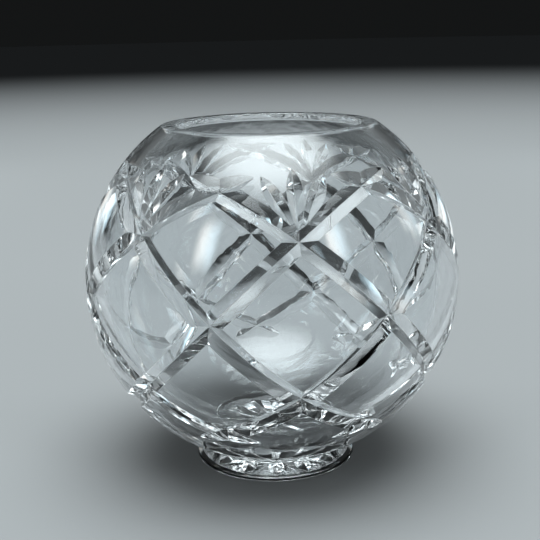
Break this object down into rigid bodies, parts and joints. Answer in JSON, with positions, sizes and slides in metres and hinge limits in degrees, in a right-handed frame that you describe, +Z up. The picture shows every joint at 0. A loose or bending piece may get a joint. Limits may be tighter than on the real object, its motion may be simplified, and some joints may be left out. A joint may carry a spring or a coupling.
{
  "type": "rose bowl vase",
  "caption": "Globe-shaped rose bowl of clear cut crystal on a low star-cut foot, with a mitre-cut diamond lattice, fans under the collar and a flat polished rim, for short-stemmed flowers.",
  "frame": {"origin": "centre of the ring that the foot stands on, at the table", "axes": "+Z up the axis of the globe, out of the mouth; -Y towards the fan at the front"},
  "size_m": [0.2, 0.1997, 0.1839],
  "materials": {
    "crystal": "clear lead crystal, cut and polished"
  },
  "bodies": {
    "root": {"bowl": "crystal", "foot": "crystal"}
  },
  "joints": []
}
